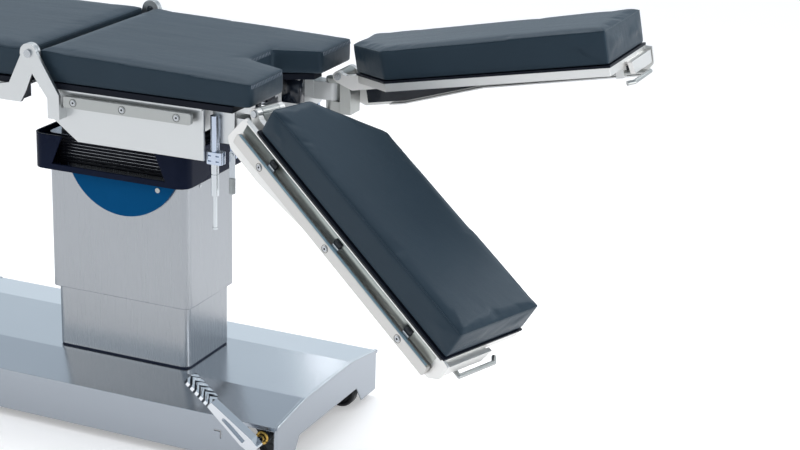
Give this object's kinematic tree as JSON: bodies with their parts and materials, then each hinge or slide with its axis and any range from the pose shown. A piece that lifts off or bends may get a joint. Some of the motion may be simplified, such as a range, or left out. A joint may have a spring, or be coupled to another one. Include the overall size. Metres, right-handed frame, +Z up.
{
  "type": "operating table",
  "caption": "Operating table on a lifting column with a tilting seat, folding back and head sections and two separate leg rests that spread and drop.",
  "frame": {"origin": "on the floor, below the centre of the whole table's outline as it stands in the picture", "axes": "+X along the table towards the leg rests, +Y across it away from the foot pedal, +Z up"},
  "size_m": [2.1804, 0.727, 1.0117],
  "materials": {
    "stainless_brushed": "brushed",
    "stainless_bright": "satin",
    "frame_steel": "satin powder coat",
    "machined_steel": "machined",
    "rail_steel": "ground",
    "screw_steel": "satin",
    "cast_aluminium": "satin",
    "dark_seal": "matte",
    "navy_moulding": "semi-gloss",
    "bellows_rubber": "matte",
    "blue_plastic": "semi-gloss",
    "pad_vinyl": "soft vinyl",
    "pad_board": "satin",
    "grip_plastic": "ribbed",
    "castor_tyre": "matte"
  },
  "bodies": {
    "base": {"base_cover": "stainless_brushed", "base_frame": "frame_steel", "mast": "machined_steel", "column_gasket": "dark_seal", "column_lower_cover": "stainless_brushed"},
    "pedal": {"pedal_arm": "cast_aluminium", "pedal_tread": "cast_aluminium"},
    "lift": {"column_upper_cover": "stainless_brushed", "lift_carriage": "machined_steel", "head_shell": "navy_moulding", "bellows": "bellows_rubber", "pivot_discs": "blue_plastic"},
    "tilt_head": {"tilt_cross": "machined_steel"},
    "seat": {"seat_cradle": "frame_steel", "seat_frame": "stainless_bright", "seat_hinge_plates": "stainless_bright", "seat_base_plate": "pad_board", "seat_pad": "pad_vinyl", "seat_rails": "rail_steel", "seat_fixings": "screw_steel", "lock_blocks": "machined_steel", "leg_bracket_near": "stainless_bright", "leg_bracket_far": "stainless_bright"},
    "back": {"back_frame": "stainless_bright", "back_base_plate": "pad_board", "back_pad": "pad_vinyl", "back_rails": "rail_steel", "back_fixings": "screw_steel"},
    "head": {"head_frame": "stainless_bright", "head_base_plate": "pad_board", "head_pad": "pad_vinyl"},
    "castor_1": {"castor_fork_1": "frame_steel"},
    "wheel_1": {"castor_wheel_1": "castor_tyre"},
    "castor_2": {"castor_fork_2": "frame_steel"},
    "wheel_2": {"castor_wheel_2": "castor_tyre"},
    "castor_3": {"castor_fork_3": "frame_steel"},
    "wheel_3": {"castor_wheel_3": "castor_tyre"},
    "castor_4": {"castor_fork_4": "frame_steel"},
    "wheel_4": {"castor_wheel_4": "castor_tyre"},
    "hinge_block_near": {"leg_block_near": "cast_aluminium"},
    "leg_near": {"leg_frame_near": "stainless_bright", "leg_base_plate_near": "pad_board", "leg_pad_near": "pad_vinyl", "leg_rail_near": "rail_steel", "leg_fixings_near": "screw_steel", "leg_end_rail_near": "rail_steel"},
    "release_near": {"release_handle_near": "rail_steel"},
    "spindle_near": {"lock_handle_near": "rail_steel"},
    "latch_near": {"latch_lever_near": "grip_plastic"},
    "hinge_block_far": {"leg_block_far": "cast_aluminium"},
    "leg_far": {"leg_frame_far": "stainless_bright", "leg_base_plate_far": "pad_board", "leg_pad_far": "pad_vinyl", "leg_rail_far": "rail_steel", "leg_fixings_far": "screw_steel", "leg_end_rail_far": "rail_steel"},
    "release_far": {"release_handle_far": "rail_steel"},
    "spindle_far": {"lock_handle_far": "rail_steel"},
    "latch_far": {"latch_lever_far": "grip_plastic"}
  },
  "joints": [
    {"name": "lift_slide", "type": "slide", "parent": "base", "child": "lift", "axis": [0, 0, 1], "range_m": [-0.12, 0.2]},
    {"name": "long_tilt", "type": "hinge", "parent": "lift", "child": "tilt_head", "pos_m": [-0.04423, 0.08951, 0.74], "axis": [0, -1, 0], "range_deg": [-20, 20]},
    {"name": "side_tilt", "type": "hinge", "parent": "tilt_head", "child": "seat", "pos_m": [-0.04423, 0.08951, 0.74], "axis": [1, 0, 0], "range_deg": [-15, 15]},
    {"name": "back_fold", "type": "hinge", "parent": "seat", "child": "back", "pos_m": [-0.16673, 0.08951, 0.886], "axis": [0, 1, 0], "range_deg": [-20, 70]},
    {"name": "head_fold", "type": "hinge", "parent": "back", "child": "head", "pos_m": [-0.80773, 0.08951, 0.852], "axis": [0, 1, 0], "range_deg": [-35, 40]},
    {"name": "pedal_press", "type": "hinge", "parent": "base", "child": "pedal", "pos_m": [0.40777, -0.21049, 0.088], "axis": [0, 1, 0], "range_deg": [-30, 0]},
    {"name": "spread_near", "type": "hinge", "parent": "seat", "child": "hinge_block_near", "pos_m": [0.36077, -0.09449, 0.808], "axis": [0, 0, -1], "range_deg": [-18.5, 11.5]},
    {"name": "tilt_near", "type": "hinge", "parent": "hinge_block_near", "child": "leg_near", "pos_m": [0.38448, -0.10242, 0.808], "axis": [0.3173, 0.9483, 0], "range_deg": [-46, 16]},
    {"name": "release_turn_near", "type": "hinge", "parent": "leg_near", "child": "release_near", "pos_m": [0.35769, -0.10401, 0.76931], "axis": [0.7862, -0.2631, -0.5592], "range_deg": [-35, 0]},
    {"name": "spindle_turn_near", "type": "hinge", "parent": "seat", "child": "spindle_near", "pos_m": [0.27177, -0.12999, 0.684], "axis": [0, 0, 1], "range_deg": [0, 90]},
    {"name": "latch_pull_near", "type": "hinge", "parent": "seat", "child": "latch_near", "pos_m": [0.30677, -0.11449, 0.705], "axis": [0, 1, 0], "range_deg": [-25, 5]},
    {"name": "spread_far", "type": "hinge", "parent": "seat", "child": "hinge_block_far", "pos_m": [0.36077, 0.27351, 0.808], "axis": [0, 0, 1], "range_deg": [0, 30]},
    {"name": "tilt_far", "type": "hinge", "parent": "hinge_block_far", "child": "leg_far", "pos_m": [0.38577, 0.27351, 0.808], "axis": [0, 1, 0], "range_deg": [-1.4, 60.6]},
    {"name": "release_turn_far", "type": "hinge", "parent": "leg_far", "child": "release_far", "pos_m": [0.39521, 0.28351, 0.76297], "axis": [0.9829, 0, 0.184], "range_deg": [0, 35]},
    {"name": "spindle_turn_far", "type": "hinge", "parent": "seat", "child": "spindle_far", "pos_m": [0.27177, 0.30901, 0.684], "axis": [0, 0, 1], "range_deg": [0, 90]},
    {"name": "latch_pull_far", "type": "hinge", "parent": "seat", "child": "latch_far", "pos_m": [0.30677, 0.29351, 0.705], "axis": [0, 1, 0], "range_deg": [-25, 5]},
    {"name": "swivel_1", "type": "hinge", "parent": "base", "child": "castor_1", "pos_m": [0.36777, -0.08249, 0.09], "axis": [0, 0, 1], "continuous": true},
    {"name": "roll_1", "type": "hinge", "parent": "castor_1", "child": "wheel_1", "pos_m": [0.39577, -0.08249, 0.038], "axis": [0, 1, 0], "continuous": true},
    {"name": "swivel_2", "type": "hinge", "parent": "base", "child": "castor_2", "pos_m": [0.36777, 0.26151, 0.09], "axis": [0, 0, 1], "continuous": true},
    {"name": "roll_2", "type": "hinge", "parent": "castor_2", "child": "wheel_2", "pos_m": [0.39577, 0.26151, 0.038], "axis": [0, 1, 0], "continuous": true},
    {"name": "swivel_3", "type": "hinge", "parent": "base", "child": "castor_3", "pos_m": [-0.56623, -0.08249, 0.09], "axis": [0, 0, 1], "continuous": true},
    {"name": "roll_3", "type": "hinge", "parent": "castor_3", "child": "wheel_3", "pos_m": [-0.59423, -0.08249, 0.038], "axis": [0, 1, 0], "continuous": true},
    {"name": "swivel_4", "type": "hinge", "parent": "base", "child": "castor_4", "pos_m": [-0.56623, 0.26151, 0.09], "axis": [0, 0, 1], "continuous": true},
    {"name": "roll_4", "type": "hinge", "parent": "castor_4", "child": "wheel_4", "pos_m": [-0.59423, 0.26151, 0.038], "axis": [0, 1, 0], "continuous": true}
  ]
}
